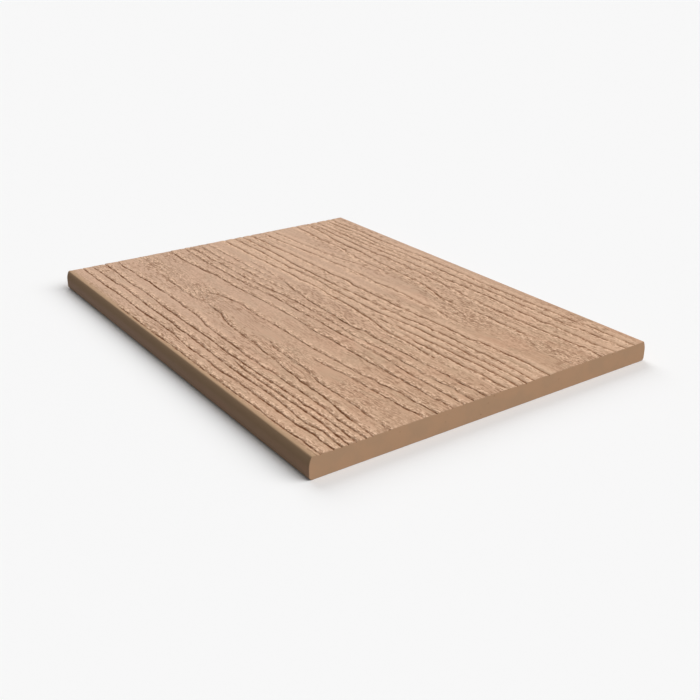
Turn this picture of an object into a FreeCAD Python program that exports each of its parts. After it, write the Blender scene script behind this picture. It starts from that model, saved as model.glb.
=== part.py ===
# Composite fascia board: a short sawn length of the stock, in millimetres.
#
# The board lies flat on its plain back, with its wood-grain face up. The origin is the centre
# of the back. X runs along the length, Y across the width and +Z out of the grained face.
# It is one extruded piece: a constant section, with full rounds along both long edges of the
# face and smaller ones along the back, cut square at both ends.

import FreeCAD
import Part
import Sketcher
import enum
import math
import os

# Driving dimensions: alias, value in millimetres, what it is
SIZES = [
    ("board_length", 400.0, "between the two sawn ends"),
    ("board_width", 300.0, "over the two long sides"),
    ("board_thickness", 16.0, "back to the top of the grain"),
    ("face_edge_radius", 3.5, "round along each long edge of the grained face"),
    ("back_edge_radius", 2.5, "round along each long edge of the back"),
]

# How a sketch names its own origin, as the first point of its first axis
SKETCH_ORIGIN = (-1, 1)
SKETCH_NORMAL = FreeCAD.Vector(0, 0, 1)


class End(enum.IntEnum):
    """How a sketch counts the two ends of a line or arc."""

    FIRST = 1
    LAST = 2


def make_sheet(doc):
    """Put the driving dimensions in a spreadsheet, one aliased cell each."""
    sheet = doc.addObject("Spreadsheet::Sheet", "Sizes")
    for row, (alias, value, meaning) in enumerate(SIZES, start=1):
        sheet.set(f"A{row}", alias)
        sheet.set(f"B{row}", str(value))
        sheet.set(f"C{row}", meaning)
        sheet.setAlias(f"B{row}", alias)
    doc.recompute()
    return sheet


def origin_plane(body, role):
    """Return one of the body's own origin planes by its role."""
    return next(plane for plane in body.Origin.OriginFeatures if plane.Role == role)


def corner_arc(centre_y, centre_z, radius, start_degrees):
    """Return a quarter round that turns anticlockwise from its start angle."""
    circle = Part.Circle(FreeCAD.Vector(centre_y, centre_z, 0), SKETCH_NORMAL, radius)
    start = math.radians(start_degrees)
    return Part.ArcOfCircle(circle, start, start + math.pi / 2)


def side_line(start, end):
    """Return a straight side of the section between two (y, z) points."""
    return Part.LineSegment(FreeCAD.Vector(*start, 0), FreeCAD.Vector(*end, 0))


def draw_section(sketch, sheet):
    """Draw the board's section: four straight sides joined by tangent quarter rounds."""
    half = sheet.board_width / 2
    top = sheet.board_thickness
    face = sheet.face_edge_radius
    back = sheet.back_edge_radius

    bottom = sketch.addGeometry(side_line((back - half, 0), (half - back, 0)))
    back_right = sketch.addGeometry(corner_arc(half - back, back, back, 270))
    right = sketch.addGeometry(side_line((half, back), (half, top - face)))
    face_right = sketch.addGeometry(corner_arc(half - face, top - face, face, 0))
    upper = sketch.addGeometry(side_line((half - face, top), (face - half, top)))
    face_left = sketch.addGeometry(corner_arc(face - half, top - face, face, 90))
    left = sketch.addGeometry(side_line((-half, top - face), (-half, back)))
    back_left = sketch.addGeometry(corner_arc(back - half, back, back, 180))

    loop = [bottom, back_right, right, face_right, upper, face_left, left, back_left]
    for before, after in zip(loop, loop[1:] + loop[:1]):
        sketch.addConstraint(Sketcher.Constraint("Tangent", before, End.LAST, after, End.FIRST))
    for level in (bottom, upper):
        sketch.addConstraint(Sketcher.Constraint("Horizontal", level))
    for upright in (right, left):
        sketch.addConstraint(Sketcher.Constraint("Vertical", upright))
    sketch.addConstraint(Sketcher.Constraint("Equal", face_right, face_left))
    sketch.addConstraint(Sketcher.Constraint("Equal", back_right, back_left))
    sketch.addConstraint(
        Sketcher.Constraint("Symmetric", bottom, End.FIRST, bottom, End.LAST, *SKETCH_ORIGIN)
    )

    named = [
        ("width", Sketcher.Constraint("DistanceX", left, End.FIRST, right, End.LAST, 2 * half)),
        ("thickness", Sketcher.Constraint("DistanceY", bottom, End.LAST, upper, End.FIRST, top)),
        ("face_radius", Sketcher.Constraint("Radius", face_right, face)),
        ("back_radius", Sketcher.Constraint("Radius", back_right, back)),
    ]
    for name, constraint in named:
        sketch.renameConstraint(sketch.addConstraint(constraint), name)
    sketch.setExpression("Constraints.width", "Sizes.board_width")
    sketch.setExpression("Constraints.thickness", "Sizes.board_thickness")
    sketch.setExpression("Constraints.face_radius", "Sizes.face_edge_radius")
    sketch.setExpression("Constraints.back_radius", "Sizes.back_edge_radius")


def make_board(doc, sheet):
    """Extrude the section along X, half each way, so that both sawn ends are square to it."""
    body = doc.addObject("PartDesign::Body", "FasciaBoard")
    body.Label = "fascia_board"

    section = body.newObject("Sketcher::SketchObject", "BoardSection")
    section.AttachmentSupport = (origin_plane(body, "YZ_Plane"), [""])
    section.MapMode = "FlatFace"
    draw_section(section, sheet)
    doc.recompute()

    extrusion = body.newObject("PartDesign::Pad", "SawnLength")
    extrusion.Profile = section
    extrusion.SideType = "Symmetric"
    extrusion.setExpression("Length", "Sizes.board_length")
    doc.recompute()
    return body


def check_model(doc, bodies):
    """Stop if an object failed to build or a body isn't one valid closed solid."""
    for item in doc.Objects:
        if "Invalid" in item.State or "Error" in item.State:
            raise RuntimeError(f"{item.Label} failed to build: {item.State}")
    for body in bodies:
        shape = body.Shape
        if shape.isNull() or not shape.isValid() or len(shape.Solids) != 1:
            raise RuntimeError(f"{body.Label} isn't one valid solid")


def check_volume(board, sheet):
    """Stop if the solid's volume isn't the section's area times the length."""
    full = sheet.board_width * sheet.board_thickness
    rounds = 2 * (1 - math.pi / 4) * (sheet.face_edge_radius**2 + sheet.back_edge_radius**2)
    wanted = (full - rounds) * sheet.board_length
    if not math.isclose(board.Shape.Volume, wanted):
        raise RuntimeError(f"volume {board.Shape.Volume:.1f} instead of {wanted:.1f}")


def export_parts(bodies):
    """Write each body to a STEP file named by its label."""
    os.makedirs("parts", exist_ok=True)
    for body in bodies:
        body.Shape.exportStep(f"parts/{body.Label}.step")
        print(f"{body.Label}: {body.Shape.Volume:.0f} cubic millimetres, {body.Shape.BoundBox}")


doc = FreeCAD.newDocument("CompositeFasciaBoard")
sheet = make_sheet(doc)
board = make_board(doc, sheet)
doc.recompute()
check_model(doc, [board])
check_volume(board, sheet)
export_parts([board])
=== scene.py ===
# Composite fascia board: the embossed grain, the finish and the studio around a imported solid.
#
# The board lies flat with its wood-grain face up. X runs along the grain, Y across it and Z out
# of the face. The grain is cut as real relief below the solid's face: every groove follows a
# line drawn along the board, with a steep wall on one side and a rough torn lip on the other.
# Sizes in the code are in millimetres. Meshes, settings and the studio are in metres.

import math
from typing import NamedTuple

import bpy
import numpy as np
from bpy.props import FloatProperty, FloatVectorProperty, IntProperty, PointerProperty
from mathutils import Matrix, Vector


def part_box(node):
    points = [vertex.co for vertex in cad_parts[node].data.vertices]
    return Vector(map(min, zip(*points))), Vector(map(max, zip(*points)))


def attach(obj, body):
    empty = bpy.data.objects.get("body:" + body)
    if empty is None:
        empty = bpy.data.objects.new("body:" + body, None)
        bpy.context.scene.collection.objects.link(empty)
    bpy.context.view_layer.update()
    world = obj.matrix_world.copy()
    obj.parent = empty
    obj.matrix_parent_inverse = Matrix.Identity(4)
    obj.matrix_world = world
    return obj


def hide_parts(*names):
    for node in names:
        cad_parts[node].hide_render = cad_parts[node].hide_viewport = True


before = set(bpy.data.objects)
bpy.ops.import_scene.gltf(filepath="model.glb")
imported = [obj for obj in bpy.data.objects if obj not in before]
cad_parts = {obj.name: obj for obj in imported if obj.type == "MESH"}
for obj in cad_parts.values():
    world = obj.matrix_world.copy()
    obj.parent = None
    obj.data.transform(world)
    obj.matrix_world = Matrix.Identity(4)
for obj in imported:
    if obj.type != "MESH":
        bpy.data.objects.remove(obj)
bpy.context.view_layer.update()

bl_info = {
    "name": "Composite Fascia Board",
    "version": (1, 0, 0),
    "blender": (4, 5, 0),
    "location": "View3D > Sidebar > Fascia Board",
    "description": "Builds an embossed wood-plastic fascia board and its studio",
    "category": "Add Mesh",
}

CAD_NODE = "fascia_board"
PIECE = "embossed_board"
MM = 0.001
BOARD_LOW, BOARD_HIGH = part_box(CAD_NODE)

# The side of a groove on which its torn, rough lip stands
LEFT = 1
RIGHT = -1


class Groove(NamedTuple):
    """A groove of the grain: its share of the full depth, its rough side and its line.

    A point of the line is its distance from the near sawn end and from the right long side.
    """

    depth: float
    rough_side: int
    line: list


# The grooves from the right long side to the left one
GROOVES = [
    Groove(0.50, LEFT, [(0, 13.8), (50, 13.4), (62, 15), (100, 15), (150, 15.6), (172, 15.5),
        (190, 13.7), (225, 13.2), (245, 12.6), (262, 13.9), (300, 15.1), (335, 14.8), (348, 13.9),
        (365, 15.4), (380, 16), (400, 15.1)]),
    Groove(0.50, LEFT, [(0, 23), (25, 23.4), (48, 23.2), (58, 25), (75, 24.6), (90, 23.8), (125, 24),
        (150, 23.4), (165, 24.1), (200, 23.7), (215, 23), (240, 22), (265, 22.2), (305, 22.9),
        (320, 22.6), (340, 20.8), (355, 21), (375, 22.4), (400, 22)]),
    Groove(0.38, LEFT, [(252, 30.8), (260, 28.2), (290, 27.4), (302, 28.9), (320, 28), (340, 29.2),
        (355, 28), (370, 29), (390, 26.8), (400, 27)]),
    Groove(0.50, LEFT, [(0, 34.4), (20, 36.2), (38, 35.2), (66, 34.6), (72, 37), (84, 35.3), (95, 36.2),
        (107, 34.8), (138, 33.3), (160, 34.4), (200, 34.4), (220, 32.8), (235, 33.5), (243, 32.4),
        (262, 33.4), (300, 34.6), (320, 34.9), (340, 34), (400, 33.5)]),
    Groove(0.52, LEFT, [(0, 49.4), (14, 47), (32, 48.3), (55, 49.4), (95, 49.4), (130, 49), (137, 47.5),
        (152, 48.6), (160, 46.4), (175, 45.2), (200, 44), (222, 42.4), (230, 43.4), (240, 42),
        (274, 41.4), (281, 43.6), (300, 43), (320, 42), (355, 41.4), (375, 40), (400, 41)]),
    Groove(0.55, LEFT, [(57, 66.3), (75, 64.8), (95, 65.3), (103, 63.6), (112, 64.6), (124, 64.3)]),
    Groove(0.52, LEFT, [(139, 67.5), (158, 67.2), (166, 65.6), (172, 63.3), (185, 61.2), (200, 58.5),
        (228, 57.6), (255, 55.6), (262, 56.2), (275, 53.8), (305, 51.2), (317, 52.2), (345, 50.6),
        (353, 48.9), (375, 46.8), (400, 45.6)]),
    Groove(0.48, LEFT, [(233, 69), (243, 65.4), (262, 65.9), (285, 64.7), (305, 61.6), (317, 60.2),
        (332, 60.4), (347, 61.6), (372, 59.6), (400, 59.2)]),
    Groove(0.34, LEFT, [(260, 72), (275, 76), (295, 79.5), (303, 80), (313, 82.2), (325, 82.2),
        (350, 84.6), (375, 85), (393, 87.2), (400, 87.6)]),
    Groove(0.45, LEFT, [(111, 91.6), (122, 91.2), (137, 87.9), (150, 87.8), (154, 89.4), (165, 88.5),
        (185, 87.7), (190, 88.6), (200, 87.7), (212, 89.6), (225, 90.2), (235, 88.9), (275, 88.6),
        (288, 90.8), (302, 90.6), (320, 91.8), (338, 93.6), (362, 96.2), (380, 97.2), (400, 98.8)]),
    Groove(0.62, LEFT, [(0, 102.4), (15, 101.8), (20, 100.5), (35, 100.9), (47, 102.3), (72, 102.9),
        (77, 106.2), (105, 105.8), (130, 106.4), (136, 108), (158, 108), (165, 109.4), (180, 108.7),
        (200, 109.5), (225, 109.4), (238, 107.5), (252, 108.4), (260, 109.8), (270, 108.8),
        (315, 109.3), (332, 109), (340, 110.4), (380, 110.6), (392, 111.8), (400, 111.6)]),
    Groove(0.62, LEFT, [(0, 117.3), (20, 116), (36, 115), (55, 115), (59, 117), (64, 115.8), (102, 116),
        (107, 118), (113, 116.7), (130, 117.6), (137, 119.3), (155, 120), (160, 121.2), (170, 120.5),
        (200, 120.8), (228, 121.9), (290, 122.4), (306, 122.6), (322, 121.3), (345, 120.5),
        (400, 121.3)]),
    Groove(0.58, LEFT, [(0, 124.3), (10, 123.5), (37, 123.7), (55, 124.7), (75, 124.1), (120, 124.8),
        (135, 126.9), (148, 128.2), (157, 129.4), (170, 130.3), (200, 130), (232, 130.3), (245, 129),
        (256, 127.7), (270, 129.3), (285, 129.1), (295, 130.6), (312, 129.8), (330, 130), (350, 128.8),
        (375, 130), (400, 130)]),
    Groove(0.66, LEFT, [(0, 132.4), (12, 131.5), (45, 131.4), (70, 132.8), (86, 132.7), (95, 134.1),
        (108, 133.7), (120, 135.2), (132, 134.7)]),
    Groove(0.50, LEFT, [(129, 138.2), (138, 136.6), (155, 137.4)]),
    Groove(0.72, LEFT, [(0, 140.9), (15, 141.3), (25, 140.2), (37, 140.5), (43, 141.8), (62, 141),
        (67, 142.2), (78, 141.3), (88, 141.3), (94, 142.3), (110, 141.4)]),
    Groove(0.62, LEFT, [(68, 149.5), (100, 147.9), (130, 148), (138, 146), (148, 144.6), (160, 142.6),
        (170, 142.2), (180, 140.9), (200, 139.8), (220, 139.8), (230, 138.2), (254, 137.7),
        (262, 140.2), (272, 139), (285, 138.8), (312, 140.2), (318, 140.8), (323, 139.4), (333, 141.4),
        (345, 140.3), (355, 141.6), (365, 140.6), (385, 141.5), (400, 140.5)]),
    Groove(0.42, RIGHT, [(41, 151), (52, 150.4), (66, 151.7), (70, 150.5), (100, 151.3), (115, 152),
        (135, 151.4)]),
    Groove(0.72, RIGHT, [(0, 160.4), (13, 159.2), (22, 160.9), (32, 161.4), (41, 160), (46, 161.3),
        (58, 160.6), (63, 162.3), (80, 161), (90, 162), (127, 162.2), (133, 161), (139, 161.3),
        (143, 163.8), (165, 163.6), (175, 162.3), (200, 161.8), (218, 161), (228, 159), (240, 158.4),
        (252, 156.6), (266, 154)]),
    Groove(0.36, RIGHT, [(264, 154.1), (285, 153.5), (300, 152.3), (332, 151)]),
    Groove(0.52, RIGHT, [(288, 159.7), (300, 158.9), (318, 160), (331, 159), (337, 160), (345, 159.2),
        (357, 159.5), (370, 160.5), (385, 159.6), (400, 161)]),
    Groove(0.52, RIGHT, [(246, 164.1), (266, 164.8), (275, 165), (283, 167.5), (300, 167.3),
        (318, 168.7), (331, 168), (341, 169.4), (357, 169.8), (375, 169), (400, 169.3)]),
    Groove(0.62, RIGHT, [(0, 170.8), (15, 171.5), (22, 169.6), (30, 171.2), (50, 173), (62, 171.2),
        (75, 171.8), (90, 170.8), (105, 171), (113, 172.8), (122, 171.5), (130, 173), (145, 172.9),
        (155, 171.5), (200, 171.2), (217, 170.5), (228, 171.6), (240, 171.6), (245, 173), (262, 174.8),
        (280, 175.4), (292, 176.9), (330, 176.6), (345, 176.6), (355, 178), (375, 177), (400, 178)]),
    Groove(0.68, RIGHT, [(0, 180), (43, 179.6), (52, 180.4), (65, 180), (78, 179), (90, 178.3),
        (110, 178.8), (128, 178.8), (140, 179.4), (160, 179.5), (172, 178.8), (185, 179.6),
        (200, 180.2), (240, 180.2), (245, 181.3), (263, 181.8), (268, 184), (290, 183.8), (295, 185),
        (320, 184.8), (337, 185.2), (345, 186), (365, 185.2), (383, 184.4), (400, 184)]),
    Groove(0.72, RIGHT, [(0, 189.4), (13, 189), (17, 190.8), (30, 190), (55, 190.6), (62, 191.2),
        (80, 191), (92, 192), (100, 191.4), (120, 191.8), (137, 191.2), (145, 192.2), (160, 192.6),
        (172, 191.2), (210, 191), (216, 192.2), (240, 192.3), (262, 194), (272, 194), (282, 195),
        (318, 195), (325, 197), (345, 198), (357, 199), (375, 200), (400, 198.4)]),
    Groove(0.68, RIGHT, [(0, 202), (13, 203), (22, 204), (35, 203.6), (48, 204.8), (55, 206.3),
        (63, 206.3), (75, 208.5), (90, 209.2), (118, 210.4), (135, 211.4), (155, 211.6), (170, 211),
        (200, 212.2), (222, 212), (243, 211), (250, 212.6), (262, 213.8), (271, 216), (282, 222)]),
    Groove(0.66, RIGHT, [(0, 213), (10, 212.6), (15, 214.8), (32, 215), (50, 216.2), (68, 216.8),
        (85, 217.8), (92, 219.4), (108, 220.5), (120, 223)]),
    Groove(0.62, RIGHT, [(0, 240.6), (12, 240.2), (25, 240.4), (38, 238.9), (60, 239), (82, 239.4),
        (90, 238.2), (107, 235.4), (125, 234.6), (150, 233.9), (164, 230.6)]),
    Groove(0.90, RIGHT, [(0, 253.2), (12, 252.8), (30, 251.8), (45, 250.2), (60, 248.4), (77, 248.2),
        (90, 248.6), (97, 247.2), (115, 246.8), (130, 244.4), (148, 244.2), (157, 242.2), (168, 241.6),
        (180, 241.8), (190, 241), (208, 240), (222, 237.2), (232, 233.7), (245, 234), (258, 233.3)]),
    Groove(0.60, RIGHT, [(271, 236), (280, 236.4), (290, 234.5)]),
    Groove(0.60, RIGHT, [(291, 237.2), (305, 235.2), (320, 235), (340, 233.6)]),
    Groove(0.85, RIGHT, [(0, 258.5), (33, 258.8), (45, 257.2), (80, 256.5), (90, 257.3), (117, 256.6),
        (121, 258), (140, 257.5), (150, 258), (165, 256.4), (200, 256), (217, 255.2), (230, 252.8),
        (245, 251.3), (262, 251.8), (275, 250.9), (297, 250.3), (310, 251), (335, 250.2), (350, 251.8),
        (370, 251.2), (380, 252.8), (400, 251.5)]),
    Groove(0.86, RIGHT, [(0, 266), (25, 264.4), (55, 264.2), (58, 265.8), (64, 264.6), (97, 265),
        (102, 266), (118, 265.8), (140, 266.6), (143, 265.6), (158, 266.6), (175, 266), (190, 265.2),
        (270, 265.3), (300, 264), (325, 263.8), (330, 265), (343, 265), (375, 263.6), (400, 264)]),
    Groove(0.95, RIGHT, [(0, 271.7), (15, 270.9), (35, 269.6), (63, 269.6), (72, 270.5), (95, 270.4),
        (110, 271), (130, 270.8), (146, 269)]),
    Groove(0.88, RIGHT, [(0, 276.3), (15, 276.2), (20, 274.7), (32, 276.6), (33, 278), (50, 277.8),
        (58, 276.6), (90, 275.6), (115, 276.6), (150, 276.8), (200, 275.4), (214, 274.8), (218, 275.7),
        (240, 274.4), (275, 275), (316, 274), (338, 273.8), (345, 275.2), (380, 275.4), (400, 276.2)]),
    Groove(0.92, RIGHT, [(0, 282), (15, 282.6), (19, 281.3), (33, 282.6), (38, 283.8), (80, 284),
        (100, 283.8), (125, 284.2), (140, 286), (155, 284.8), (190, 285.6), (203, 284.5), (215, 283.3),
        (250, 283.2), (262, 284), (285, 284.3), (305, 283.6), (335, 284), (345, 285), (400, 284.8)]),
    Groove(0.75, RIGHT, [(0, 292), (20, 291.6), (35, 292.8), (60, 293.3), (78, 292.8), (100, 293.6),
        (140, 294.2), (200, 294), (216, 294.6), (225, 295.4), (240, 295.4), (262, 295), (292, 295.4)]),
    # Faint lines and short nicks
    Groove(0.20, LEFT, [(0, 109.2), (20, 108.4), (46, 109)]),
    Groove(0.22, LEFT, [(196, 134.6), (230, 135), (262, 134.8)]),
    Groove(0.22, LEFT, [(286, 134.6), (320, 135), (352, 134.6)]),
    Groove(0.55, LEFT, [(125, 141.4), (130, 142), (136, 143)]),
    Groove(0.40, LEFT, [(200, 92.8), (205, 92.5), (211, 92.7)]),
    Groove(0.40, LEFT, [(246, 92.2), (253, 92), (260, 92.2)]),
    Groove(0.35, LEFT, [(205, 53.2), (210, 53), (215, 52.8)]),
    Groove(0.35, LEFT, [(228, 52.2), (233, 52), (239, 51.9)]),
]

# A groove's cross-section: distance from its line towards its rough side, and height as a share
# of its depth. On the right-hand half of the board the face dips into a groove and climbs slowly
# out of it. On the left-hand half a torn ridge stands over the groove and falls away behind.
DIP_PROFILE = [
    (-6, 0), (-3.6, -0.02), (-2.4, -0.14), (-1.7, -0.42), (-1.2, -0.7), (-0.95, -1.25),
    (-0.6, -1.22), (-0.2, -0.72), (0.8, -0.4), (2.0, 0.0), (3.2, 0.18), (4.6, 0.1), (6, 0),
]
RIDGE_PROFILE = [
    (-6, 0), (-3.0, -0.04), (-1.4, -0.18), (-0.6, -0.4), (-0.2, -0.62), (0.05, -0.6),
    (0.5, 0.1), (1.1, 0.46), (2.1, 0.4), (3.4, 0.14), (4.8, 0.01), (6, 0),
]

# Patches of the face between the grooves: from the near end, from the right side, half length,
# half width, and how much rougher (above 0) or smoother (below 0) they are than the rest
PATCHES = [
    (110, 45, 130, 42, 0.25),
    (25, 70, 38, 8, 0.8),
    (122, 80, 32, 12, 0.7),
    (137, 228, 30, 9, 0.4),
    (282, 224, 26, 12, 1.0),
    (380, 228, 30, 10, 0.9),
    (345, 222, 30, 9, 0.6),
    (40, 228, 45, 7, 0.5),
    (22, 85, 15, 6, -0.6),
    (75, 94, 16, 5, -0.6),
    (165, 98, 30, 7, -0.7),
    (200, 76, 30, 7, -0.7),
    (88, 227, 12, 6, -0.9),
    (170, 225, 15, 6, -0.9),
    (215, 222, 25, 7, -0.5),
]

SEED = 20

# Into how many steps a back round, a side and the back are cut
ROUND_STEPS = 4
SIDE_STEPS = 2
BACK_STEPS = 4


# Noise and profiles, worked out with numpy
def smooth_noise(rng, along, across, cell_along, cell_across):
    """Random numbers from -1 to 1 on a grid of cells, joined smoothly and read at given places."""
    x = np.asarray(along, float) / cell_along
    y = np.asarray(across, float) / cell_across
    x, y = np.broadcast_arrays(x - x.min(), y - y.min())
    column, row = np.floor(x).astype(int), np.floor(y).astype(int)
    lattice = rng.uniform(-1, 1, (column.max() + 2, row.max() + 2))
    fx, fy = x - column, y - row
    fx, fy = fx * fx * (3 - 2 * fx), fy * fy * (3 - 2 * fy)
    near = lattice[column, row] * (1 - fx) + lattice[column + 1, row] * fx
    far = lattice[column, row + 1] * (1 - fx) + lattice[column + 1, row + 1] * fx
    return near * (1 - fy) + far * fy


def soft_step(value, start, end):
    """0 before start, 1 after end and a smooth rise between them."""
    t = np.clip((value - start) / (end - start), 0, 1)
    return t * t * (3 - 2 * t)


def soft_band(value, rise_start, rise_end, fall_start, fall_end):
    """1 inside a band and 0 outside it, with a smooth rise and a smooth fall."""
    return soft_step(value, rise_start, rise_end) * (1 - soft_step(value, fall_start, fall_end))


def bell(value, reach):
    """1 at 0, falling smoothly on both sides, and steepest at the reach."""
    return np.exp(-((value / reach) ** 2) / 2)


def gather(value, rows, reach):
    """How close together rows stand round a place where a number of them gather."""
    return rows / reach * bell(value, reach)


def soft_profile(points, step=0.05, softness=0.1, tails=3):
    """A cross-section as two arrays, with its corners softened."""
    points = np.array(points, float)
    place = np.arange(points[0, 0], points[-1, 0] + step, step)
    height = np.interp(place, points[:, 0], points[:, 1])
    kernel = bell(np.arange(-tails * softness, tails * softness + step, step), softness)
    padded = np.pad(height, len(kernel) // 2, mode="edge")
    return place, np.convolve(padded, kernel / kernel.sum(), mode="valid")[: len(place)]


def line_at(line, along, beyond=10, samples=1681, softened=33):
    """Where a groove's line lies across the board, with its corners softened and its ends held."""
    points = np.array(line, float)
    fine = np.linspace(along[0] - beyond, along[-1] + beyond, samples)
    place = np.interp(fine, points[:, 0], points[:, 1])
    kernel = np.hanning(softened)
    padded = np.pad(place, softened // 2, mode="edge")
    return np.interp(along, fine, np.convolve(padded, kernel / kernel.sum(), mode="valid"))


def presence(line, along, fade):
    """1 where a groove is cut and 0 beyond its ends, with a fade at an end inside the board."""
    start, end = line[0][0], line[-1][0]
    shown = np.ones_like(along)
    if start > along[0]:
        shown *= soft_step(along, start - fade / 2, start + fade / 2)
    if end < along[-1]:
        shown *= 1 - soft_step(along, end - fade / 2, end + fade / 2)
    return shown


class Relief:
    """The relief of the face, on a grid of columns along the board and rows across it."""

    # The length over which a groove fades at an end inside the board
    FADE = 28.0

    # The step of the fine places across the face from which the rows are picked
    FINE_STEP = 0.1

    # Where a groove is deepest, by its rough side: distance from its line towards that side
    BOTTOM = {LEFT: -0.75, RIGHT: 0.0}

    # Rows that gather at a groove's wall, at its lip and at the face's corners, and their spread
    WALL = (4.6, 0.5)
    LIP_PLACE = 1.6
    LIP = (2.8, 1.6)
    CORNER = (6.0, 0.45)

    # Fibres: how far off a groove bends them, how much the rest holds them straight, the
    # steepest lean they take from it, and the length in which they turn straight again
    BEND_REACH = 7.0
    HOLD = 0.08
    STEEPEST = 0.15
    STRAIGHTEN = 60.0

    # Noises along a groove, as parts of a strength and a cell size
    WANDER = ((0.08, 8), (0.06, 3.6), (0.13, 1.9))
    DEPTH_NOISE = ((0.25, 15), (0.3, 4.2), (0.3, 2.0))
    DEPTH_LIMITS = (0.25, 1.7)
    WIDTH_NOISE = ((0.15, 6), (0.2, 2.4))

    # Noises over the face, as parts of a strength and a cell's length and width
    EDGE_NOISE = ((0.15, 2.6, 1.6),)
    KNOB_NOISE = ((1, 2.8, 1.8), (0.7, 1.9, 1.3))
    TICK_NOISE = ((1, 7, 2.0),)
    SWELL_NOISE = ((0.06, 60, 11),)
    DRIFT_NOISE = ((0.5, 55, 13),)

    # The torn strip on a groove's rough side, and its strength at a groove of no depth
    TORN_STRIP = (-0.2, 0.6, 2.2, 4.6)
    TORN_START = 0.45

    # The strips of painted highlight beside a groove's bottom, and their share where a ridge stands
    # over it
    HIGHLIGHT_STRIP = (0.8, 2.2, 4, 7)
    HIGHLIGHT_START = 0.4
    RIDGE_HIGHLIGHT = 0.35

    # How wide the painted shade in a groove's bottom is, and how dark it is by the groove's rough side
    SHADE_REACH = 0.4
    SHADE_STRENGTH = {LEFT: 1.4, RIGHT: 0.66}

    # How steeply a patch falls away at its edge
    PATCH_FALL = 1.5

    # How torn and how ragged the face is: everywhere, beside a groove, in a patch and at least
    TORN = 0.24
    TORN_AT_GROOVE = 0.8
    TORN_IN_PATCH = 0.7
    TORN_LEAST = 0.05
    RAGGED = 0.6
    RAGGED_AT_GROOVE = 0.3
    RAGGED_IN_PATCH = 0.6
    RAGGED_LEAST = 0.08

    # Knobs and ticks: their heights, where ticks start, and their shares of the colour mask, which
    # paints highlight on knob tops and lips and shade in ticks
    KNOB_HEIGHT = 0.3
    KNOB_SINK = 0.06
    TICK_DEPTH = 0.2
    TICK_STEP = (0.4, 0.7)
    TICK_WHERE_TORN = (0.1, 0.7)
    KNOB_HIGHLIGHT = 0.5
    LIP_HIGHLIGHT = 0.3
    TICK_SHADE = 0.8

    # Where the relief rises from the plain right edge and falls to the plain left one
    MARGIN = (1, 5, 295, 296.8)

    def __init__(self, along, span, corners, rows, depth, drop):
        self.along = along
        self.span = span
        self.depth = depth
        self.drop = drop
        self.rng = np.random.default_rng(SEED)
        self.lines = [line_at(groove.line, along) for groove in GROOVES]
        self.centres = [line + self.noise_along(self.WANDER) for line in self.lines]
        self.shown = [presence(groove.line, along, self.FADE) for groove in GROOVES]
        self.fine = np.arange(span[0], span[1] + self.FINE_STEP / 2, self.FINE_STEP)
        self.across = self.place_rows(rows, corners)
        self.way = self.follow_grain()
        self.shape()

    def place_rows(self, rows, corners):
        """Places of the rows across each column, crowded where the walls and lips are."""
        density = np.zeros((len(self.along), len(self.fine)))
        for groove, centre, shown in zip(GROOVES, self.centres, self.shown):
            towards_lip = (self.fine - centre[:, None]) * groove.rough_side
            crowd = gather(towards_lip - self.BOTTOM[groove.rough_side], *self.WALL)
            crowd += gather(towards_lip - self.LIP_PLACE, *self.LIP)
            density += crowd * shown[:, None]
        for corner in corners:
            density += gather(self.fine - corner, *self.CORNER)
        density /= math.sqrt(2 * math.pi)
        used = density.sum(axis=1, keepdims=True) * self.FINE_STEP
        density += (rows - used) / (self.span[1] - self.span[0])
        total = np.cumsum(density, axis=1)
        total = (total - total[:, :1]) / (total[:, -1:] - total[:, :1]) * (rows - 1)
        wanted = np.arange(rows)
        return np.array([np.interp(wanted, column, self.fine) for column in total])

    def follow_grain(self):
        """How far across each point's fibre starts at the near end, so that fibres follow grooves."""
        way = self.fine
        ways = [way]
        slopes = [np.gradient(line, self.along) for line in self.lines]
        for column, width in enumerate(np.diff(self.along)):
            lean = np.zeros_like(self.fine)
            weight = np.full_like(self.fine, self.HOLD)
            for centre, slope, shown in zip(self.lines, slopes, self.shown):
                near = bell(self.fine - centre[column], self.BEND_REACH) * shown[column]
                lean += near * np.clip(slope[column], -self.STEEPEST, self.STEEPEST)
                weight += near
            way = np.interp(self.fine - lean / weight * width, self.fine, way)
            way += (self.fine - way) * width / self.STRAIGHTEN
            ways.append(way)
        return np.array([np.interp(row, self.fine, way) for row, way in zip(self.across, ways)])

    def noise_along(self, parts):
        """Noise down the length only, as a sum of parts of a strength and a cell size."""
        return sum(
            strength * smooth_noise(self.rng, self.along, 0, cell, 1) for strength, cell in parts
        )

    def noise_over(self, parts):
        """Noise over the face along its fibres, as a sum of parts of a strength and a cell's sizes."""
        places = (self.along[:, None], self.way)
        return sum(
            strength * smooth_noise(self.rng, *places, *cell) for strength, *cell in parts
        )

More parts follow.
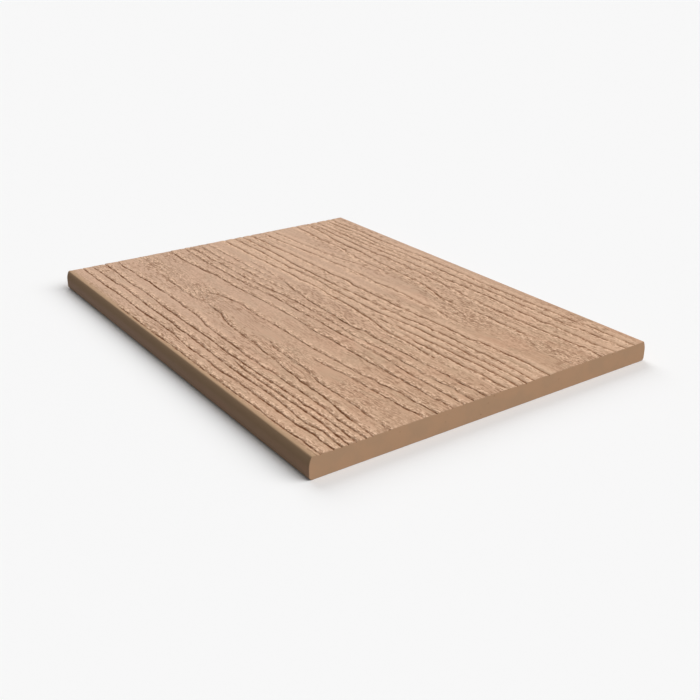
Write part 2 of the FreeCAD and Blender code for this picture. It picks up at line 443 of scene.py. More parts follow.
    def cut_grooves(self):
        """Heights of the grooves, how torn the face is beside them, painted highlight in strips beside
        their bottoms, and painted shade in their bottoms.
        """
        profiles = {LEFT: soft_profile(DIP_PROFILE), RIGHT: soft_profile(RIDGE_PROFILE)}
        height, rough, lip, deep = np.zeros((4, *self.across.shape))
        for groove, centre, shown in zip(GROOVES, self.centres, self.shown):
            side = groove.rough_side
            strength = 1 + self.noise_along(self.DEPTH_NOISE)
            width = 1 + self.noise_along(self.WIDTH_NOISE)
            away = (self.across - centre[:, None]) * side + self.noise_over(self.EDGE_NOISE)
            away = np.where(away > 0, away / width[:, None], away)
            size = (groove.depth * np.clip(strength, *self.DEPTH_LIMITS) * shown)[:, None]
            height += size * np.interp(away, *profiles[side], left=0, right=0)
            strip = soft_band(away, *self.TORN_STRIP) * shown[:, None]
            rough = np.maximum(rough, strip * min(1, self.TORN_START + groove.depth))
            from_bottom = away - self.BOTTOM[side]
            # Painted highlight in strips beside the groove's bottom
            strip = soft_band(np.abs(from_bottom), *self.HIGHLIGHT_STRIP)
            if side == RIGHT:
                strip *= self.RIDGE_HIGHLIGHT * (away > 0)
            strip *= shown[:, None]
            lip = np.maximum(lip, strip * min(1, self.HIGHLIGHT_START + groove.depth))
            # Painted shade in the groove's bottom
            bottom = bell(from_bottom, self.SHADE_REACH)
            deep = np.maximum(deep, bottom * np.minimum(1, size * self.SHADE_STRENGTH[side]))
        return height, rough, lip, deep

    def lay_patches(self):
        """How much rougher or smoother the patches make the face."""
        patch = np.zeros_like(self.across)
        for start, side, length, half_width, amount in PATCHES:
            far = ((self.along[:, None] - start) / length) ** 2
            far = far + ((self.across - side) / half_width) ** 2
            patch += amount * np.exp(-(far**self.PATCH_FALL))
        return patch

    def shape(self):
        """Heights of the whole face, and its masks for colour and bump, painted highlight and shade
        among them.
        """
        height, rough, lip, deep = self.cut_grooves()
        patch = self.lay_patches()
        torn = self.TORN + self.TORN_AT_GROOVE * rough + self.TORN_IN_PATCH * patch
        torn = np.clip(torn, self.TORN_LEAST, 1)
        knobs = self.noise_over(self.KNOB_NOISE)
        ticks = soft_step(self.noise_over(self.TICK_NOISE), *self.TICK_STEP)
        ticks *= soft_step(torn, *self.TICK_WHERE_TORN)
        swell = self.noise_over(self.SWELL_NOISE)
        height += (self.KNOB_HEIGHT * knobs - self.KNOB_SINK) * torn + swell - self.TICK_DEPTH * ticks
        drift = self.noise_over(self.DRIFT_NOISE)
        ragged = self.RAGGED + drift + self.RAGGED_IN_PATCH * patch + self.RAGGED_AT_GROOVE * rough
        ragged = np.clip(ragged, self.RAGGED_LEAST, 1)
        # Painted highlight on knob tops and beside grooves, and painted shade in the ticks. This mask
        # also sways the crumbs' bump.
        painted_light_tone = self.KNOB_HIGHLIGHT * knobs * torn + self.LIP_HIGHLIGHT * lip - self.TICK_SHADE * ticks
        margin = soft_band(self.across, *self.MARGIN)
        self.height = np.minimum(self.depth * height * margin - self.drop * margin, 0)
        # self.knobs carries the painted highlight and shade of the knobs, lips and ticks
        self.rough, self.deep, self.knobs = torn * margin, deep * margin, painted_light_tone * margin
        self.lip, self.ragged = lip * margin, ragged * margin


# The section of the board: where a point of its skin is, and which way it faces
class EdgeRound:
    """The rounding from the face to a long side: a tight corner, then a flank that eases upright."""

    STEPS = 600

    def __init__(self, corner_radius, flank_radius, corner_turn):
        corner = corner_radius * corner_turn
        self.girth = corner + flank_radius * (math.pi / 2 - corner_turn)
        self.way = np.linspace(0, self.girth, self.STEPS)
        flank = corner_turn + (self.way - corner) / flank_radius
        self.turn = np.where(self.way < corner, self.way / corner_radius, flank)
        step = self.way[1]
        middle = (self.turn[1:] + self.turn[:-1]) / 2
        self.out = np.concatenate([[0], np.cumsum(np.cos(middle)) * step])
        self.down = np.concatenate([[0], np.cumsum(np.sin(middle)) * step])
        self.reach = self.out[-1]
        self.drop = self.down[-1]

    def read(self, beyond):
        """How far a point has turned, gone out and gone down, by its way beyond the flat face."""
        return [np.interp(beyond, self.way, values) for values in (self.turn, self.out, self.down)]


def face_skin(across, width, thickness, edge):
    """Y, Z and the outward direction of the face and its two rounds, by distance across."""
    right, right_out, right_down = edge.read(edge.reach - across)
    left, left_out, left_down = edge.read(across - (width - edge.reach))
    flat = np.clip(across, edge.reach, width - edge.reach)
    facing_y = np.sin(right) - np.sin(left)
    facing_z = np.cos(right) * np.cos(left)
    place_y = width / 2 - flat + right_out - left_out
    place_z = thickness - right_down - left_down
    return place_y, place_z, facing_y, facing_z


def lower_skin(width, side_top, back_radius):
    """The rest of the section, from the left face round down, along the back and up the right side."""
    places = []
    side = width / 2
    for step in range(1, SIDE_STEPS + 1):
        share = step / SIDE_STEPS
        height = side_top * (1 - share) + back_radius * share
        places.append((-side, height, -1, 0))
    for step in range(1, ROUND_STEPS + 1):
        turn = math.pi / 2 * step / ROUND_STEPS
        places.append((
            -side + back_radius * (1 - math.cos(turn)),
            back_radius * (1 - math.sin(turn)),
            -math.cos(turn),
            -math.sin(turn),
        ))
    mirrored = [(-y, z, -facing_y, facing_z) for y, z, facing_y, facing_z in places]
    inner = side - back_radius
    for step in range(1, BACK_STEPS):
        places.append((-inner + 2 * inner * step / BACK_STEPS, 0, 0, -1))
    return np.array(places + mirrored[::-1])


# Where the painted shade along the left rim fades in, from the left end of the flat face, and out, from
# the left side
RIM_SHADE_IN = (-6, -1)
RIM_SHADE_OUT = (2, 8)


def board_mesh(sizes):
    """Build the board as one closed mesh with its masks, its bake map and its faces split between two
    finishes.
    """
    length = (BOARD_HIGH.x - BOARD_LOW.x) / MM
    width = (BOARD_HIGH.y - BOARD_LOW.y) / MM
    thickness = (BOARD_HIGH.z - BOARD_LOW.z) / MM
    edge = EdgeRound(sizes.corner_radius / MM, sizes.flank_radius / MM, sizes.corner_turn)
    side_top = thickness - edge.drop
    bevel = sizes.saw_bevel / MM

    along = np.linspace(bevel, length - bevel, sizes.columns)
    along = np.concatenate([[0], along, [length]])
    overhang = edge.girth - edge.reach
    span = (-overhang, width + overhang)
    corner_middle = edge.reach - sizes.corner_radius / MM * sizes.corner_turn / 2
    corners = (corner_middle, width - corner_middle)
    depth, drop = sizes.grain_depth / MM, sizes.face_drop / MM
    relief = Relief(along, span, corners, sizes.rows, depth, drop)

    face_y, face_z, facing_y, facing_z = face_skin(relief.across, width, thickness, edge)
    face_y += facing_y * relief.height
    face_z += facing_z * relief.height

    lower = lower_skin(width, side_top, sizes.back_edge_radius / MM)
    columns, rows = relief.across.shape
    loop = rows + len(lower)

    def whole(face_part, lower_part):
        """Join values over the face with those of the rest of the section."""
        lower_part = np.broadcast_to(lower_part, (columns, len(lower)))
        return np.concatenate([face_part, lower_part], axis=1)

    place_y = whole(face_y, lower[:, 0])
    place_z = whole(face_z, lower[:, 1])
    facing_y = whole(facing_y, lower[:, 2])
    facing_z = whole(facing_z, lower[:, 3])
    for end in (0, -1):
        place_y[end] -= facing_y[end] * bevel
        place_z[end] -= facing_z[end] * bevel
    place_x = np.broadcast_to((length / 2 - along)[:, None], place_y.shape)
    points = np.stack([place_x, place_y, place_z], axis=-1).reshape(-1, 3) * MM

    index = np.arange(columns * loop).reshape(columns, loop)
    after = np.roll(index, -1, axis=1)
    quads = np.stack([index[:-1], index[1:], after[1:], after[:-1]], axis=-1)
    faces = quads.reshape(-1, 4).tolist()
    faces.append(index[0].tolist())
    faces.append(index[-1][::-1].tolist())

    mesh = bpy.data.meshes.new(PIECE)
    mesh.from_pydata(points.tolist(), [], faces)
    sawn = np.zeros(len(faces), np.int32)
    sawn[-2:] = 1
    mesh.polygons.foreach_set("use_smooth", sawn == 0)
    mesh.polygons.foreach_set("material_index", sawn)

    # How far round the skin each row is, and the closing row once more at the end
    section = np.vstack([lower[:, :2], [[width / 2, side_top]]])
    before = np.vstack([[[-width / 2, side_top]], lower[:, :2]])
    girth = np.cumsum(np.hypot(*(section - before).T))
    round_skin = np.concatenate(
        [relief.across, np.broadcast_to(span[1] + girth, (columns, len(girth)))], axis=1
    )
    way = whole(relief.way, round_skin[0, rows:-1])
    add_attribute(mesh, "grain_way", [np.broadcast_to(along[:, None], way.shape) * MM, way * MM])
    # Painted shade along the left edge, over the tight round and the top of the flank
    rim = soft_step(relief.across - (width - edge.reach), *RIM_SHADE_IN)
    rim *= 1 - soft_step(relief.across - width, *RIM_SHADE_OUT)
    for name, masks in (
        ("grain_masks", (relief.rough, relief.deep, relief.knobs)),
        ("face_masks", (facing_z[:, :rows] ** 2, relief.ragged)),
        # Painted shade along the left rim, and painted highlight beside the grooves
        ("painted_light_masks", (rim, relief.lip)),
    ):
        add_attribute(mesh, name, [whole(mask, 0) for mask in masks])
    add_bake_map(mesh, along / length, round_skin, rows)
    mesh.validate()
    mesh.update()
    return mesh


def add_attribute(mesh, name, parts):
    """Store up to three numbers for each point, as a vector."""
    values = np.zeros((len(mesh.vertices), 3), np.float32)
    for axis, part in enumerate(parts):
        values[:, axis] = part.reshape(-1)
    mesh.attributes.new(name, "FLOAT_VECTOR", "POINT").data.foreach_set("vector", values.reshape(-1))


# The bake map, 1 wide and 1 high: its margin, and from where to where the skin, the back and
# the two sawn ends stand up it, and how far across it the ends reach
MAP_EDGE = 0.01
MAP_SKIN = (0.22, 0.99)
MAP_BACK = (0.12, 0.20)
MAP_ENDS = ((0.06, 0.105), (0.005, 0.05))
MAP_END_REACH = 0.75


def add_bake_map(mesh, along, round_skin, rows):
    """Lay the skin out flat for baking: the face between its sides, and the back and ends below."""
    columns, loop = round_skin.shape[0], round_skin.shape[1] - 1
    foot = SIDE_STEPS + ROUND_STEPS
    back_start, back_end, total = (round_skin[0, i] for i in (rows + foot - 1, loop - foot, loop))
    skin_start = back_end - total
    strip = np.arange(loop)
    on_back = (strip >= rows + foot - 1) & (strip < loop - foot)
    on_right = strip >= loop - foot

    def height(place):
        """The height in the map of places round the skin."""
        skin_place = np.where(on_right, place - total, place)
        skin = np.interp(skin_place, (skin_start, back_start), MAP_SKIN)
        back = np.interp(place, (back_start, back_end), MAP_BACK)
        return np.where(on_back, back, skin)

    low, high = height(round_skin[:, :-1]), height(round_skin[:, 1:])
    reach = MAP_EDGE + (1 - 2 * MAP_EDGE) * np.broadcast_to(along[:, None], low.shape)
    heights = np.stack([low[:-1], low[1:], high[1:], high[:-1]], axis=-1)
    reaches = np.stack([reach[:-1], reach[1:], reach[1:], reach[:-1]], axis=-1)
    places = [np.stack([reaches, heights], axis=-1).reshape(-1, 2)]

    points = np.empty(len(mesh.vertices) * 3)
    mesh.vertices.foreach_get("co", points)
    points = points.reshape(columns, loop, 3)
    ends = (points[0], points[-1][::-1])
    for end, span in zip(ends, MAP_ENDS):
        across = np.interp(end[:, 1], (BOARD_LOW.y, BOARD_HIGH.y), (MAP_EDGE, MAP_END_REACH))
        up = np.interp(end[:, 2], (BOARD_LOW.z, BOARD_HIGH.z), span)
        places.append(np.stack([across, up], axis=-1))
    layer = mesh.uv_layers.new(name="OFBake")
    layer.data.foreach_set("uv", np.concatenate(places).reshape(-1).astype(np.float32))


# Shader nodes written as sums
class Signal:
    """A shader socket. An operator adds its Math node, or its Vector Math node for a vector."""

    def __init__(self, tree, socket=None):
        self.tree = tree
        self.socket = socket

    def feed(self, socket, value):
        """Link a signal to a socket, or set its value."""
        if isinstance(value, Signal):
            self.tree.links.new(value.socket, socket)
        else:
            socket.default_value = value

    def node(self, kind, settings=None, output=0, **inputs):
        """Add a node: its settings first, then the values or links of its sockets."""
        made = self.tree.nodes.new(kind)
        for name, value in (settings or {}).items():
            setattr(made, name, value)
        for name, value in inputs.items():
            self.feed(made.inputs[name.replace("_", " ")], value)
        return Signal(self.tree, made.outputs[output])

    def maths(self, operation, first, second):
        """Work out an operation on two values, or on vectors where either is one."""
        pair = (first, second)
        vectors = any(isinstance(x, Signal) and x.socket.type == "VECTOR" for x in pair)
        made = self.tree.nodes.new("ShaderNodeVectorMath" if vectors else "ShaderNodeMath")
        made.operation = operation
        for socket, value in zip(made.inputs, pair):
            self.feed(socket, value)
        return Signal(self.tree, made.outputs[0])

    def __add__(self, other):
        return self.maths("ADD", self, other)

    __radd__ = __add__

    def __sub__(self, other):
        return self.maths("SUBTRACT", self, other)

    def __rsub__(self, other):
        return self.maths("SUBTRACT", other, self)

    def __mul__(self, other):
        return self.maths("MULTIPLY", self, other)

    __rmul__ = __mul__

    def __abs__(self):
        return self.node("ShaderNodeMath", {"operation": "ABSOLUTE"}, Value=self)

    def split(self):
        """The three numbers of this vector."""
        apart = self.node("ShaderNodeSeparateXYZ", Vector=self).socket.node
        return [Signal(self.tree, socket) for socket in apart.outputs]

    def mix(self, base, over):
        """Lay one colour over another by this value."""
        made = self.tree.nodes.new("ShaderNodeMix")
        made.data_type = "RGBA"
        inputs = {socket.identifier: socket for socket in made.inputs}
        self.feed(inputs["Factor_Float"], self)
        for name, colour in (("A_Color", base), ("B_Color", over)):
            self.feed(inputs[name], colour if isinstance(colour, Signal) else (*colour, 1))
        outputs = {socket.identifier: socket for socket in made.outputs}
        return Signal(self.tree, outputs["Result_Color"])

    def noise(self, along, across, detail, roughness=0.5):
        """Noise in this vector's place, with cells of the given sizes in millimetres."""
        return self.node(
            "ShaderNodeTexNoise",
            Vector=self * (1 / (along * MM), 1 / (across * MM), 1 / (across * MM)),
            Scale=1.0,
            Detail=detail,
            Roughness=roughness,
        )

    def between(self, low, high):
        """0 at or before low, 1 at or past high and a smooth rise between. High may be the lower."""
        return self.node(
            "ShaderNodeMapRange",
            {"interpolation_type": "SMOOTHSTEP"},
            Value=self,
            From_Min=low,
            From_Max=high,
        )


def new_material(name):
    """A node material with its shader, and a Signal to start its sums from."""
    material = bpy.data.materials.new(name)
    material.use_nodes = True
    return material, material.node_tree.nodes["Principled BSDF"], Signal(material.node_tree)


def attribute(start, name):
    """Read a vector that is stored on the mesh."""
    return start.node("ShaderNodeAttribute", {"attribute_name": name}, output="Vector")


def feed_shader(start, shader, look, colour, roughness, height):
    """Give a board's shader its colour, its roughness, its sheen and its bump."""
    start.feed(shader.inputs["Base Color"], colour)
    start.feed(shader.inputs["Roughness"], roughness)
    shader.inputs["Specular IOR Level"].default_value = look.sheen_level
    bump = start.node("ShaderNodeBump", Height=height, Distance=1.0, Strength=1.0)
    start.feed(shader.inputs["Normal"], bump)


# The middle of a noise from 0 to 1, and what makes its swing about it one from -1 to 1
MIDDLE = 0.5
FULL_SWING = 2

# Noises of the face: a cell's length and width in millimetres, and how many finer layers it has
BLOTCH = (75, 24, 3)
TINT = (38, 13, 2)
CRUMB = (2.5, 1.8, 1)
GRIT = (1.7, 1.1, 1)
STRAND = (34, 3.0, 2)
HAIR = (26, 0.9, 1)
TICK = (6, 1.3, 0)
CLUSTER = (18, 6, 1)

# Where a noise or a mask starts to show and where it shows in full
TINT_RANGE = (0.38, 0.62)
BLOTCH_RANGE = (0.3, 0.7)
STRAND_RANGE = (0.46, 0.54)
SEAM_SHADE_RANGE = (0.0, 0.06)
EDGE_HIGHLIGHT_RANGE = (0.0, 0.05)
RAISED_RANGE = (-0.04, 0.05)
CRUMB_HIGHLIGHT_RANGE = (0.0, 0.09)
CRUMB_SHADE_RANGE = (-0.08, -0.18)
NICK_RANGE = (0.65, 0.71)
CRACK_RANGE = (0.1, 0.65)

# Over what distance from the near end the painted sheen, a paler and cooler tan, comes in
FAR_SHEEN_RANGE = (0.0, 300 * MM)

# How strongly each colour lies over the ones before it
FAR_SHEEN_SHARE = 0.6
RIM_SHADE_SHARE = 0.9
EDGE_HIGHLIGHT_SHARE = 0.4
SEAM_SHADE_SHARE = 0.5
LIP_HIGHLIGHT_SHARE = 0.5
CRUMB_HIGHLIGHT_SHARE = 0.9
CRUMB_SHADE_SHARE = 0.6
NICK_SHADE_SHARE = 0.8
CRACK_SHADE_SHARE = 0.9

# The level of the strands' noise along which their painted highlights run
STRAND_HIGHLIGHT_LEVEL = 0.58

# How much one noise or mask sways another
STRAND_FRAY = 0.15
FLAKE_ON_KNOBS = 0.22
FLAKE_GRIT = 0.2
NICK_CLUSTERS = 0.4
NICK_ON_RAGGED = 0.06
CRACK_LEVEL = 0.9
CRACK_BREAKS = 1.6
GRIT_EVERYWHERE = 0.1

# Roughness of the long sides, how much the face has less, and how much crumbs vary it
SIDE_ROUGHNESS = 0.95
FACE_POLISH = 0.07
CRUMB_ROUGHNESS = 0.2


def embossed_finish(look):
    """Moulded wood-plastic: blotchy tan, painted highlights on torn lips, crumbs and strand edges,
    painted shade in grooves, nicks, seams and between crumbs, painted sheen towards the far end,
    painted shade along the left rim, and a fine bump.
    """
    material, shader, start = new_material("embossed composite")
    way = attribute(start, "grain_way")
    torn, deep, knobs = attribute(start, "grain_masks").split()
    face, ragged = attribute(start, "face_masks").split()[:2]
    # The rim mask places painted shade along the left edge, and the lip mask places painted highlight
    # beside the grooves
    rim, lip = attribute(start, "painted_light_masks").split()[:2]
    rough = face * torn

    crumb = way.noise(*CRUMB)
    grit = way.noise(*GRIT) - MIDDLE
    hair = way.noise(*HAIR) - MIDDLE
    clusters = (way.noise(*CLUSTER) - MIDDLE) * NICK_CLUSTERS
    strand = way.noise(*STRAND) + (crumb - MIDDLE) * STRAND_FRAY
    step = strand.between(*STRAND_RANGE) * ragged
    # Painted shade along each strand's step, and a painted highlight beside it
    seam_shade = (1 - abs(strand - MIDDLE).between(*SEAM_SHADE_RANGE)) * ragged
    edge = (1 - abs(strand - STRAND_HIGHLIGHT_LEVEL).between(*EDGE_HIGHLIGHT_RANGE)) * ragged
    # The knobs mask brings painted highlight and shade from the relief. The flake sets both the raised
    # bump and the crumbs' painted highlight and shade.
    flake = crumb - MIDDLE + knobs * FLAKE_ON_KNOBS + grit * FLAKE_GRIT
    raised = flake.between(*RAISED_RANGE) * rough
    # Painted highlight on raised crumbs, and painted shade between them
    pale = flake.between(*CRUMB_HIGHLIGHT_RANGE) * rough
    dark = flake.between(*CRUMB_SHADE_RANGE) * rough
    nick = (way.noise(*TICK) + clusters + ragged * NICK_ON_RAGGED).between(*NICK_RANGE) * ragged
    # Painted shade in a thin broken line along each groove's bottom
    crack_shade = (deep * (CRACK_LEVEL + (MIDDLE - crumb) * CRACK_BREAKS)).between(*CRACK_RANGE)

    colour = way.noise(*TINT).between(*TINT_RANGE).mix(look.rosy_colour, look.olive_colour)
    for mask, over in (
        (way.noise(*BLOTCH).between(*BLOTCH_RANGE), look.face_colour),
        # Painted sheen: the face paler and cooler towards the far end, where it is seen at a grazing
        # angle
        (way.split()[0].between(*FAR_SHEEN_RANGE) * FAR_SHEEN_SHARE, look.far_sheen_colour),
        # Painted shade along the left rim
        (rim * RIM_SHADE_SHARE, look.shaded_rim_colour),
        # Painted highlight along the strands' edges
        (edge * EDGE_HIGHLIGHT_SHARE, look.highlight_colour),
        # Painted shade along the strands' steps
        (seam_shade * SEAM_SHADE_SHARE, look.fine_shade_colour),
        # Painted highlight beside the grooves
        (lip * LIP_HIGHLIGHT_SHARE, look.highlight_colour),
        # Painted highlight on raised crumbs
        (pale * CRUMB_HIGHLIGHT_SHARE, look.highlight_colour),
        # Painted shade between crumbs
        (dark * CRUMB_SHADE_SHARE, look.fine_shade_colour),
        # Painted shade in the nicks, which the bump also sinks
        (nick * NICK_SHADE_SHARE, look.fine_shade_colour),
        # Painted shade in the grooves' bottoms
        (crack_shade * CRACK_SHADE_SHARE, look.groove_shade_and_speck_colour),
    ):
        colour = mask.mix(colour, over)

    roughness = SIDE_ROUGHNESS - face * FACE_POLISH + (crumb - MIDDLE) * CRUMB_ROUGHNESS
    grit = grit * (GRIT_EVERYWHERE + rough * (1 - GRIT_EVERYWHERE))
    height = raised * look.flake_height + step * look.strand_height - nick * look.nick_depth
    height = height + (grit * look.grit_height + hair * look.fibre_height) * FULL_SWING
    feed_shader(start, shader, look, colour, roughness, height)
    return material


# Noises of the sawn ends, as those of the face, then how rough the finer layers are
CLOUD = (16, 16, 2)
SAWN_GRAIN = (1.1, 1.1, 2, 0.6)
SPECK = (2.2, 2.2, 0)
WAVE = (1.2, 16, 1)
CLOUD_RANGE = (0.35, 0.65)
GRAIN_RANGE = (0.55, 0.8)
GRAIN_SHARE = 0.3
SPECK_RANGE = (0.80, 0.86)
SPECK_SHARE = 0.5
SAWN_ROUGHNESS = 0.85


def sawn_finish(look):
    """The cut ends: even and matt, with faint clouds, a fine grain and a few specks of wood flour."""
    material, shader, start = new_material("sawn composite")
    place = start.node("ShaderNodeTexCoord", output="Object")
    grain = place.noise(*SAWN_GRAIN)
    grain_tone = grain.between(*GRAIN_RANGE) * GRAIN_SHARE
    speck = place.noise(*SPECK).between(*SPECK_RANGE) * SPECK_SHARE
    colour = place.noise(*CLOUD).between(*CLOUD_RANGE).mix(look.sawn_colour, look.sawn_shade)
    # Specks of wood flour in the cut ends, in the dark brown that also serves as painted groove shade
    colour = speck.mix(grain_tone.mix(colour, look.face_colour), look.groove_shade_and_speck_colour)
    height = (grain - MIDDLE + (place.noise(*WAVE) - MIDDLE)) * look.saw_height
    feed_shader(start, shader, look, colour, SAWN_ROUGHNESS, height)
    return material


# What a user may change
def size_property(name, description, default, low, high):
    """A length of the board: its default and limits are given in millimetres and kept in metres."""
    return FloatProperty(
        name=name,
        description=description,
        default=default * MM,
        min=low * MM,
        max=high * MM,
        precision=5,
        unit="LENGTH",
    )


def count_property(name, description, default, low, high):
    """A number of points in the board's mesh."""
    return IntProperty(name=name, description=description, default=default, min=low, max=high)


def colour_property(name, description, default):
    """A linear colour that a user can pick."""
    return FloatVectorProperty(
        name=name, description=description, subtype="COLOR", size=3, min=0, max=1, default=default
    )


def height_property(name, description, default):
    """A small height of the bump, given in millimetres and kept in metres."""
    return FloatProperty(
        name=name, description=description, unit="LENGTH", precision=6, min=0, default=default * MM
    )


def strength_property(name, description, default):
    """How strong a light is."""
    return FloatProperty(name=name, description=description, default=default, min=0)


def angle_property(name, description, default, highest):
    """An angle, given in degrees and kept in radians."""
    return FloatProperty(
        name=name,
        description=description,
        default=math.radians(default),
        min=0,
        max=math.radians(highest),
        subtype="ANGLE",
    )


class BoardSizes(bpy.types.PropertyGroup):
    """Sizes of the board's skin and of its grain."""

    corner_radius: size_property(
        "Corner Radius", "Tight round along each long edge of the grained face", 1.3, 0.2, 4
    )
    flank_radius: size_property(
        "Flank Radius", "Wide curve from the tight round to the upright side", 15, 0.5, 20
    )
    corner_turn: angle_property(
        "Corner Turn", "How far the tight round turns before the flank takes over", 62, 85
    )
    back_edge_radius: size_property(
        "Back Edge Radius", "Round along each long edge of the back", 2.5, 0.2, 6
    )
    saw_bevel: size_property(
        "Saw Bevel", "Small break along the edges of the sawn ends", 0.25, 0.05, 1
    )
    grain_depth: size_property(
        "Grain Depth", "Height of the wall of a groove whose depth is 1", 1.05, 0, 2
    )
    face_drop: size_property(
        "Face Drop", "How far the smooth face lies below the tops of the torn lips", 0.2, 0, 1
    )
    columns: count_property("Columns", "Columns of points along the board", 290, 20, 1000)
    rows: count_property("Rows", "Rows of points across the grained face", 326, 100, 2000)


class BoardLook(bpy.types.PropertyGroup):
    """Colours and fine texture of the board."""

    face_colour: colour_property("Face", "Usual tan of the face", (0.542, 0.344, 0.225))
    rosy_colour: colour_property("Rosy Patches", "Redder blotches", (0.555, 0.335, 0.218))
    olive_colour: colour_property("Olive Patches", "Greener blotches", (0.511, 0.342, 0.223))
    # Painted sheen: a paler, cooler tan towards the far end
    far_sheen_colour: colour_property("Far End", "Cooler tan towards the far end", (0.565, 0.385, 0.285))
    # Painted shade: a darker strip along the left edge, the side away from the key lamp
    shaded_rim_colour: colour_property("Rim", "Duller strip along the left edge", (0.420, 0.275, 0.165))
    # Painted highlight: the pale colour on torn lips, on raised crumbs and along strand edges
    highlight_colour: colour_property("Torn Lips", "Pale rough edges of grooves", (0.780, 0.530, 0.365))
    # Painted shade in groove bottoms, and also the colour of the specks on the cut ends
    groove_shade_and_speck_colour: colour_property("Grooves", "Dark bottoms of grooves", (0.290, 0.128, 0.055))
    # Painted shade in nicks and pits, along strand seams and between crumbs
    fine_shade_colour: colour_property("Nicks", "Short nicks and pits of the face", (0.310, 0.170, 0.098))
    sawn_colour: colour_property("Sawn Ends", "Usual colour of a cut end", (0.600, 0.362, 0.217))
    sawn_shade: colour_property("Sawn Shade", "Darker clouds of a cut end", (0.560, 0.349, 0.213))
    flake_height: height_property("Flake Height", "Flakes on the rough lips", 0.2)
    strand_height: height_property("Strand Height", "Strands along the grain", 0.2)
    grit_height: height_property("Grit Height", "Grit on the rough lips", 0.1)
    nick_depth: height_property("Nick Depth", "Short nicks along the grain", 0.1)
    fibre_height: height_property("Fibre Height", "Fine lines along the grain", 0.04)
    saw_height: height_property("Saw Height", "Fine grain and waves of the cut ends", 0.04)
    sheen_level: FloatProperty(
        name="Sheen Level",
        description="Strength of the plastic's reflection",
        default=0.12,
        min=0,
        max=1,
    )


class StudioSettings(bpy.types.PropertyGroup):
    """The studio's lamps, sky, floor and lens."""

    key_strength: strength_property("Key Strength", "Light of the larger lamp", 2.44)
    key_softness: angle_property(
        "Key Softness", "How wide the larger lamp looks from the board", 55, 180
    )
    fill_strength: strength_property("Fill Strength", "Light of the smaller lamp", 1.345)
    fill_softness: angle_property(
        "Fill Softness", "How wide the smaller lamp looks from the board", 45, 180
    )
    sky_strength: strength_property("Sky Strength", "Even light from all round", 0.2)
    floor_colour: colour_property("Floor", "The pale floor and backdrop", (0.925, 0.925, 0.925))
    floor_return: FloatProperty(
        name="Floor Return",
        description="Share of light that the floor throws back onto the board",
        default=0.27,
        min=0,
        max=1,
        subtype="FACTOR",
    )
    lens: FloatProperty(
        name="Lens",
        description="Focal length of the camera",
        default=50,
        min=10,
        subtype="DISTANCE_CAMERA",
    )


# What makes the pieces
class MESH_OT_embossed_board(bpy.types.Operator):
    """Build the board with its embossed grain and its finishes."""

    bl_idname = "mesh.embossed_board"
    bl_label = "Embossed Board"

    def execute(self, context):
        scene = context.scene
        board = bpy.data.objects.new(PIECE, board_mesh(scene.board_sizes))
        scene.collection.objects.link(board)
        board.data.materials.append(embossed_finish(scene.board_look))
        board.data.materials.append(sawn_finish(scene.board_look))
        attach(board, "root")
        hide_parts(CAD_NODE)
        return {"FINISHED"}


# The studio, in metres: the floor's reach, and where the camera stands and looks
FLOOR_REACH = 12.0
CAMERA_PLACE = (0.61915, -0.41390, 0.30627)
CAMERA_TARGET = (0.05755, -0.02059, 0.0)
NEAREST_SEEN = 0.01
FARTHEST_SEEN = 100.0
# Width of the camera's sensor, in millimetres
SENSOR_WIDTH = 36.0
# Where each lamp stands: degrees from +X towards +Y, and degrees above the floor
KEY_BEARING = (45, 45)
FILL_BEARING = (165, 38)


def seen_directly(start):
    """1 for rays that show the floor and backdrop themselves, and 0 for those that light the board."""
    path = start.node("ShaderNodeLightPath").socket.node
    camera, glossy, through = (
        Signal(start.tree, path.outputs[name])
        for name in ("Is Camera Ray", "Is Glossy Ray", "Is Transmission Ray")
    )
    return start.node("ShaderNodeClamp", Value=camera + glossy + through)


def add_floor(scene, studio):
    """A plain pale floor that keeps the board's shadow."""
    mesh = bpy.data.meshes.new("studio_floor")
    reach = FLOOR_REACH
    corners = [(-reach, -reach, 0), (reach, -reach, 0), (reach, reach, 0), (-reach, reach, 0)]
    mesh.from_pydata(corners, [], [(0, 1, 2, 3)])
    floor = bpy.data.objects.new("studio_floor", mesh)
    scene.collection.objects.link(floor)
    material, shader, start = new_material("studio floor")
    thrown = [studio.floor_return] * 3
    colour = seen_directly(start).mix(thrown, studio.floor_colour)
    start.feed(shader.inputs["Base Color"], colour)
    shader.inputs["Roughness"].default_value = 1.0
    shader.inputs["Specular IOR Level"].default_value = 0.0
    mesh.materials.append(material)


def add_lamp(scene, name, strength, softness, bearing):
    """A distant soft lamp that shines from a bearing."""
    lamp = bpy.data.lights.new(name, "SUN")
    lamp.energy = strength
    lamp.angle = softness
    stand = bpy.data.objects.new(name, lamp)
    turn, rise = (math.radians(angle) for angle in bearing)
    level = math.cos(rise)
    towards = Vector((level * math.cos(turn), level * math.sin(turn), math.sin(rise)))
    stand.rotation_mode = "QUATERNION"
    stand.rotation_quaternion = towards.to_track_quat("Z", "Y")
    stand.location = towards
    scene.collection.objects.link(stand)


def add_sky(scene, studio):
    """Even light for the board, and the floor's own pale colour for the camera."""
    world = bpy.data.worlds.new("studio sky")
    world.use_nodes = True
    sky = world.node_tree.nodes["Background"]
    start = Signal(world.node_tree)
    light = [studio.sky_strength] * 3
    start.feed(sky.inputs["Color"], seen_directly(start).mix(light, studio.floor_colour))
    sky.inputs["Strength"].default_value = 1.0
    scene.world = world


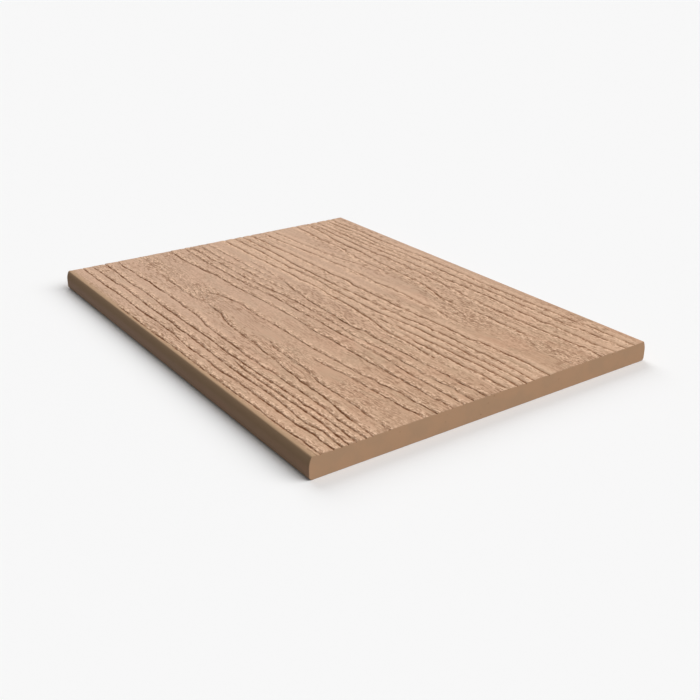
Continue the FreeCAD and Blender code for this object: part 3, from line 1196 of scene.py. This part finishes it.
def add_camera(scene, studio):
    """The camera where the photograph was taken from."""
    lens = bpy.data.cameras.new("studio camera")
    lens.lens = studio.lens
    lens.sensor_width = SENSOR_WIDTH
    lens.clip_start = NEAREST_SEEN
    lens.clip_end = FARTHEST_SEEN
    camera = bpy.data.objects.new("studio camera", lens)
    camera.location = CAMERA_PLACE
    camera.rotation_mode = "QUATERNION"
    view = Vector(CAMERA_TARGET) - Vector(CAMERA_PLACE)
    camera.rotation_quaternion = view.to_track_quat("-Z", "Y")
    scene.collection.objects.link(camera)
    scene.camera = camera


class SCENE_OT_board_studio(bpy.types.Operator):
    """Set the floor, the lamps, the sky and the camera round the board."""

    bl_idname = "scene.board_studio"
    bl_label = "Board Studio"

    def execute(self, context):
        scene = context.scene
        studio = scene.board_studio
        add_floor(scene, studio)
        add_lamp(scene, "key lamp", studio.key_strength, studio.key_softness, KEY_BEARING)
        add_lamp(scene, "fill lamp", studio.fill_strength, studio.fill_softness, FILL_BEARING)
        add_sky(scene, studio)
        add_camera(scene, studio)
        scene.view_settings.view_transform = "Standard"
        return {"FINISHED"}


class VIEW3D_PT_fascia_board(bpy.types.Panel):
    """Sidebar panel with the board's sizes, look and studio."""

    bl_idname = "VIEW3D_PT_fascia_board"
    bl_label = "Fascia Board"
    bl_space_type = "VIEW_3D"
    bl_region_type = "UI"
    bl_category = "Fascia Board"

    def draw(self, context):
        scene = context.scene
        column = self.layout.column()
        for operator, settings in (
            (MESH_OT_embossed_board, (scene.board_sizes, scene.board_look)),
            (SCENE_OT_board_studio, (scene.board_studio,)),
        ):
            column.operator(operator.bl_idname)
            for group in settings:
                for name in group.bl_rna.properties.keys():
                    if name not in ("rna_type", "name"):
                        column.prop(group, name)


GROUPS = {"board_sizes": BoardSizes, "board_look": BoardLook, "board_studio": StudioSettings}
CLASSES = [*GROUPS.values(), MESH_OT_embossed_board, SCENE_OT_board_studio, VIEW3D_PT_fascia_board]


def register():
    """Register the classes and give every scene its settings."""
    for cls in CLASSES:
        bpy.utils.register_class(cls)
    for name, group in GROUPS.items():
        setattr(bpy.types.Scene, name, PointerProperty(type=group))


def unregister():
    """Take the settings and the classes away again."""
    for name in GROUPS:
        delattr(bpy.types.Scene, name)
    for cls in reversed(CLASSES):
        bpy.utils.unregister_class(cls)


def main():
    """Build everything."""
    register()
    bpy.ops.mesh.embossed_board()
    bpy.ops.scene.board_studio()


if __name__ == "__main__":
    main()
